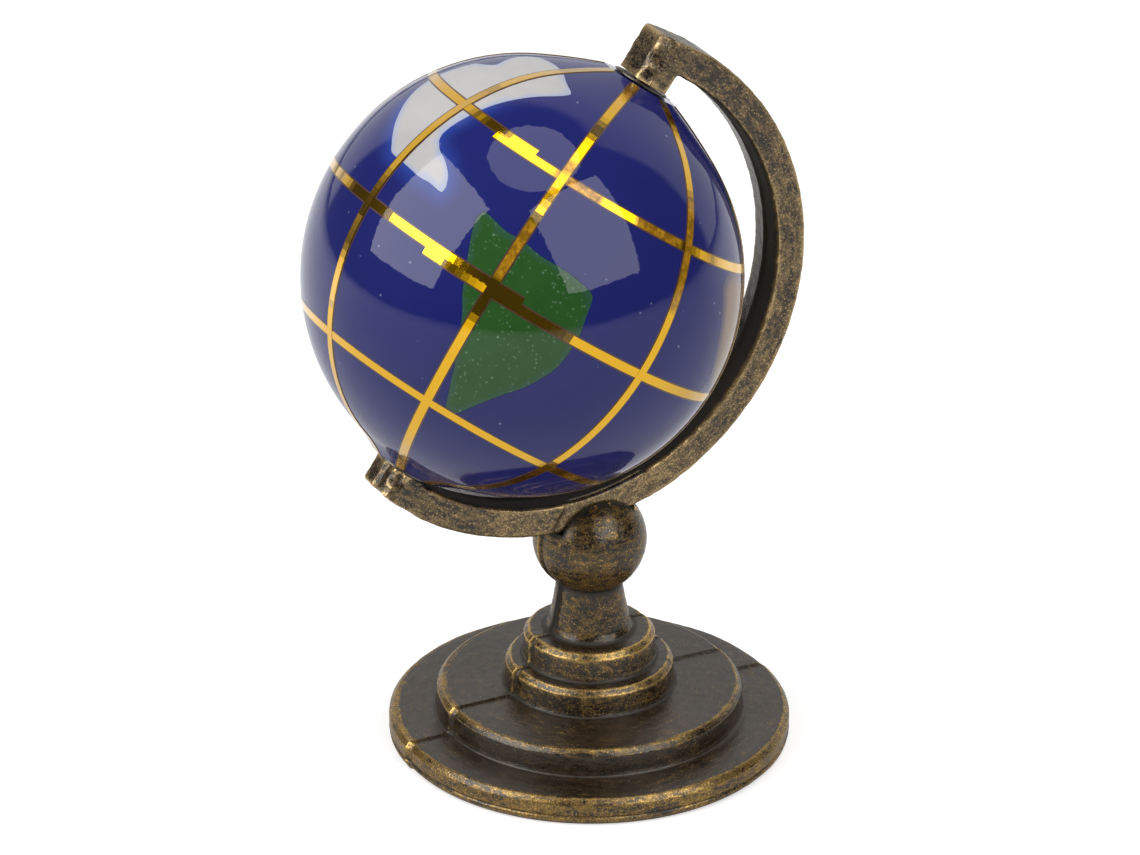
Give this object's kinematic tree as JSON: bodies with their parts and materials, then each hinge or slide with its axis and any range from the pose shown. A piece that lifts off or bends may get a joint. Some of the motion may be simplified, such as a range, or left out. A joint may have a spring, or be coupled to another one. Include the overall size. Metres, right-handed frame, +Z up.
{
  "type": "miniature desktop globe",
  "caption": "Small ornamental globe: inlaid resin ball with a gold foil grid, turning on a tilted axle in a C-shaped cast arm on a round stepped foot.",
  "frame": {"origin": "centre of the foot's underside, on the surface it stands on", "axes": "+Z up; the C-shaped arm lies in the XZ plane, with its closed side towards +X; -Y is the side seen in the picture"},
  "size_m": [0.0296, 0.0248, 0.0432],
  "materials": {
    "antique_brass": "die-cast, antique brass plating, dark patina rubbed bright on the edges",
    "steel": "plain",
    "blue_resin": "deep blue under a glossy clear coat",
    "white_resin": "milky white under a glossy clear coat",
    "green_resin": "green with fine pale specks under a glossy clear coat",
    "tan_resin": "tan under a glossy clear coat",
    "gold_foil": "mirror gold foil under a glossy clear coat"
  },
  "bodies": {
    "stand": {"foot": "antique_brass", "meridian_arm": "antique_brass", "axle_rod": "steel", "top_washer": "steel", "bottom_washer": "steel"},
    "globe": {"globe_ball": "blue_resin", "north_america_inlay": "white_resin", "south_america_inlay": "green_resin", "africa_inlay": "tan_resin", "eurasia_inlay": "green_resin", "australia_inlay": "white_resin", "foil_equator": "gold_foil", "foil_north_parallel": "gold_foil", "foil_south_parallel": "gold_foil", "foil_meridian_1": "gold_foil", "foil_meridian_2": "gold_foil", "foil_meridian_3": "gold_foil", "foil_meridian_4": "gold_foil", "foil_meridian_5": "gold_foil", "foil_meridian_6": "gold_foil", "foil_meridian_7": "gold_foil", "foil_meridian_8": "gold_foil"}
  },
  "joints": [
    {"name": "globe_spin", "type": "hinge", "parent": "stand", "child": "globe", "pos_m": [-0.0043, 0, 0.0298], "axis": [0.5779, 0, 0.8161], "continuous": true}
  ]
}
